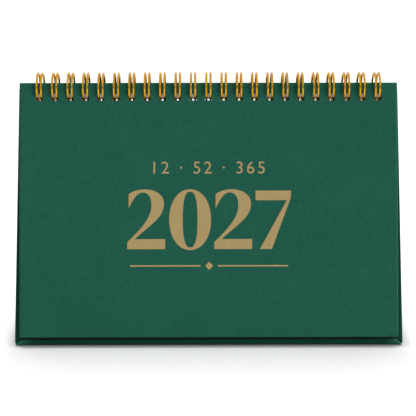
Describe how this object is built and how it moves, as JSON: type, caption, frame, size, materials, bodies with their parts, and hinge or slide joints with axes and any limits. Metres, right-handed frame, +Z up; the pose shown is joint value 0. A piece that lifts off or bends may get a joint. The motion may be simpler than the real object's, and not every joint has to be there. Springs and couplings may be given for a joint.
{
  "type": "tent desk calendar",
  "caption": "Desk calendar with a hard cover and leaves on a twin-loop wire comb, over a folding tent easel with a creased base.",
  "frame": {"origin": "middle of the footprint on the surface that the calendar stands on", "axes": "+X along the wire comb, -Y the way the cover faces, +Z up"},
  "size_m": [0.2142, 0.0806, 0.146],
  "materials": {
    "green_cloth": "dark green fine-grained covering cloth, matt",
    "grey_board": "solid board, black",
    "lining_paper": "dark green lining paper, matt",
    "leaf_paper": "white uncoated paper",
    "gold_wire": "bright gold-coated steel wire"
  },
  "bodies": {
    "front_board": {"front_board_wrap": "green_cloth", "front_board_core": "grey_board", "front_board_liner": "lining_paper", "front_crease": "green_cloth", "wire_comb": "gold_wire"},
    "rear_board": {"rear_board_wrap": "green_cloth", "rear_board_core": "grey_board", "rear_board_liner": "lining_paper", "rear_crease": "green_cloth"},
    "base_front": {"base_front_wrap": "green_cloth", "base_front_core": "grey_board", "base_front_liner": "lining_paper", "centre_crease_front": "green_cloth"},
    "base_rear": {"base_rear_wrap": "green_cloth", "base_rear_core": "grey_board", "base_rear_liner": "lining_paper", "centre_crease_rear": "green_cloth"},
    "cover": {"cover_wrap": "green_cloth", "cover_core": "grey_board", "cover_lining": "leaf_paper"},
    "leaf_01": {"leaf_01": "leaf_paper"},
    "leaf_02": {"leaf_02": "leaf_paper"},
    "leaf_03": {"leaf_03": "leaf_paper"},
    "leaf_04": {"leaf_04": "leaf_paper"},
    "leaf_05": {"leaf_05": "leaf_paper"},
    "leaf_06": {"leaf_06": "leaf_paper"}
  },
  "joints": [
    {"name": "easel_fold", "type": "hinge", "parent": "front_board", "child": "rear_board", "pos_m": [0, 0.00137, 0.13753], "axis": [-1, 0, 0], "range_deg": [0, 20]},
    {"name": "base_front_fold", "type": "hinge", "parent": "front_board", "child": "base_front", "pos_m": [0, -0.03569, 0.0019], "axis": [1, 0, 0], "range_deg": [0, 73], "deforming": ["front_crease", "centre_crease_front"]},
    {"name": "base_rear_fold", "type": "hinge", "parent": "rear_board", "child": "base_rear", "pos_m": [0, 0.03844, 0.0019], "axis": [-1, 0, 0], "range_deg": [0, 73], "deforming": ["rear_crease", "centre_crease_rear"]},
    {"name": "cover_turn", "type": "hinge", "parent": "front_board", "child": "cover", "pos_m": [0, 0.00137, 0.13753], "axis": [-1, 0, 0], "range_deg": [0, 185]},
    {"name": "leaf_01_turn", "type": "hinge", "parent": "front_board", "child": "leaf_01", "pos_m": [0, 0.00137, 0.13753], "axis": [-1, 0, 0], "range_deg": [0, 26.44]},
    {"name": "leaf_02_turn", "type": "hinge", "parent": "front_board", "child": "leaf_02", "pos_m": [0, 0.00137, 0.13753], "axis": [-1, 0, 0], "range_deg": [0, 52.87]},
    {"name": "leaf_03_turn", "type": "hinge", "parent": "front_board", "child": "leaf_03", "pos_m": [0, 0.00137, 0.13753], "axis": [-1, 0, 0], "range_deg": [0, 79.3]},
    {"name": "leaf_04_turn", "type": "hinge", "parent": "front_board", "child": "leaf_04", "pos_m": [0, 0.00137, 0.13753], "axis": [-1, 0, 0], "range_deg": [0, 105.72]},
    {"name": "leaf_05_turn", "type": "hinge", "parent": "front_board", "child": "leaf_05", "pos_m": [0, 0.00137, 0.13753], "axis": [-1, 0, 0], "range_deg": [0, 132.15]},
    {"name": "leaf_06_turn", "type": "hinge", "parent": "front_board", "child": "leaf_06", "pos_m": [0, 0.00137, 0.13753], "axis": [-1, 0, 0], "range_deg": [0, 158.58]}
  ],
  "couplings": [
    {"joint": "base_front_fold", "follows": "easel_fold", "ratio": 3.65},
    {"joint": "base_rear_fold", "follows": "easel_fold", "ratio": 3.65},
    {"joint": "leaf_01_turn", "follows": "cover_turn", "ratio": 0.14286},
    {"joint": "leaf_02_turn", "follows": "cover_turn", "ratio": 0.28571},
    {"joint": "leaf_03_turn", "follows": "cover_turn", "ratio": 0.42857},
    {"joint": "leaf_04_turn", "follows": "cover_turn", "ratio": 0.57143},
    {"joint": "leaf_05_turn", "follows": "cover_turn", "ratio": 0.71429},
    {"joint": "leaf_06_turn", "follows": "cover_turn", "ratio": 0.85714}
  ]
}
